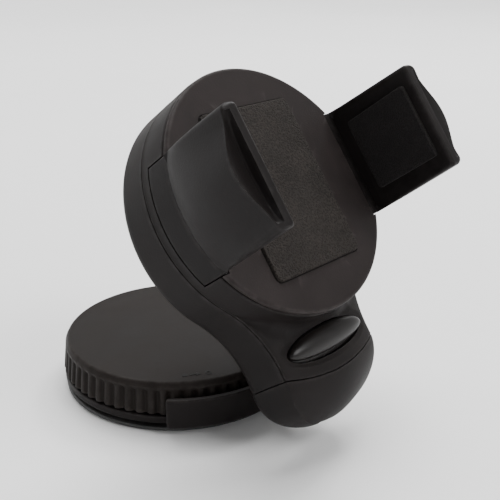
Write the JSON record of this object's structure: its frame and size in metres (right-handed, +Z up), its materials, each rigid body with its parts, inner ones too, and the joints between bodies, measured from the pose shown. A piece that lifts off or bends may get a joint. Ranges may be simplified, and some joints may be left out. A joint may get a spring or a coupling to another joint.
{
  "type": "dashboard phone holder",
  "caption": "Phone holder for a car windscreen: twist-lock suction base, tilting neck, round cradle with foam face and two sprung jaws that spread together.",
  "frame": {"origin": "centre of the suction face, on the surface the holder stands on", "axes": "+Z up from that surface; -Y is the side the cradle faces; X runs across from the left jaw to the right jaw"},
  "size_m": [0.0774, 0.1028, 0.0929],
  "materials": {
    "shell_plastic": "fine moulded grain, black",
    "face_plastic": "fine moulded grain, black",
    "dial_plastic": "fine moulded grain, black",
    "jaw_plastic": "satin black",
    "pad_foam": "closed-cell foam rubber",
    "cup_rubber": "soft black rubber",
    "white_nylon": "plain nylon",
    "plated_steel": "zinc plated"
  },
  "bodies": {
    "base": {"suction_cup": "cup_rubber", "base_housing": "shell_plastic", "slip_ring": "white_nylon"},
    "dial": {"lock_dial": "dial_plastic"},
    "stem": {"pull_stem": "white_nylon", "cam_pin": "plated_steel"},
    "head": {"rear_shell": "shell_plastic", "front_shell": "shell_plastic", "face_plate": "face_plastic", "face_pad": "pad_foam", "hinge_cap": "shell_plastic", "slide_chassis": "white_nylon", "jaw_spring": "plated_steel", "pinion_clip": "plated_steel", "hinge_bolt": "plated_steel", "hinge_nut": "plated_steel", "friction_washer_left": "white_nylon", "friction_washer_right": "white_nylon", "spring_washer": "plated_steel", "button_spring_left": "plated_steel", "button_spring_right": "plated_steel", "chassis_screw_left_low": "plated_steel", "chassis_screw_left_high": "plated_steel", "chassis_screw_right_low": "plated_steel", "chassis_screw_right_high": "plated_steel", "shell_screw_left_low": "plated_steel", "shell_screw_left_high": "plated_steel", "shell_screw_right_low": "plated_steel", "shell_screw_right_high": "plated_steel"},
    "pinion": {"jaw_pinion": "white_nylon"},
    "right_jaw_body": {"right_jaw": "jaw_plastic", "right_jaw_pad": "pad_foam"},
    "left_jaw_body": {"left_jaw": "jaw_plastic", "left_jaw_pad": "pad_foam"},
    "button": {"tilt_button": "jaw_plastic"}
  },
  "joints": [
    {"name": "dial_turn", "type": "hinge", "parent": "base", "child": "dial", "pos_m": [0, 0, 0], "axis": [0, 0, 1], "range_deg": [0, 75]},
    {"name": "stem_lift", "type": "slide", "parent": "base", "child": "stem", "axis": [0, 0, 1], "range_m": [0, 0.0018]},
    {"name": "head_tilt", "type": "hinge", "parent": "base", "child": "head", "pos_m": [0, -0.05367, 0.01737], "axis": [1, 0, 0], "range_deg": [-35, 45]},
    {"name": "right_jaw_slide", "type": "slide", "parent": "head", "child": "right_jaw_body", "axis": [1, 0, 0], "range_m": [0, 0.015], "stiffness_N_per_m": 60, "springref_m": -0.03},
    {"name": "left_jaw_slide", "type": "slide", "parent": "head", "child": "left_jaw_body", "axis": [-1, 0, 0], "range_m": [0, 0.015]},
    {"name": "pinion_turn", "type": "hinge", "parent": "head", "child": "pinion", "pos_m": [0, -0.03864, 0.0657], "axis": [0, -0.8059, 0.592], "range_deg": [0, 137]},
    {"name": "button_press", "type": "slide", "parent": "head", "child": "button", "axis": [0, 0.8059, -0.592], "range_m": [0, 0.0008], "stiffness_N_per_m": 400, "springref_m": -0.002}
  ],
  "couplings": [
    {"joint": "dial_turn", "follows": "stem_lift", "rad_per_m": 727.22},
    {"joint": "left_jaw_slide", "follows": "right_jaw_slide", "ratio": 1},
    {"joint": "pinion_turn", "follows": "right_jaw_slide", "rad_per_m": 158.73}
  ]
}
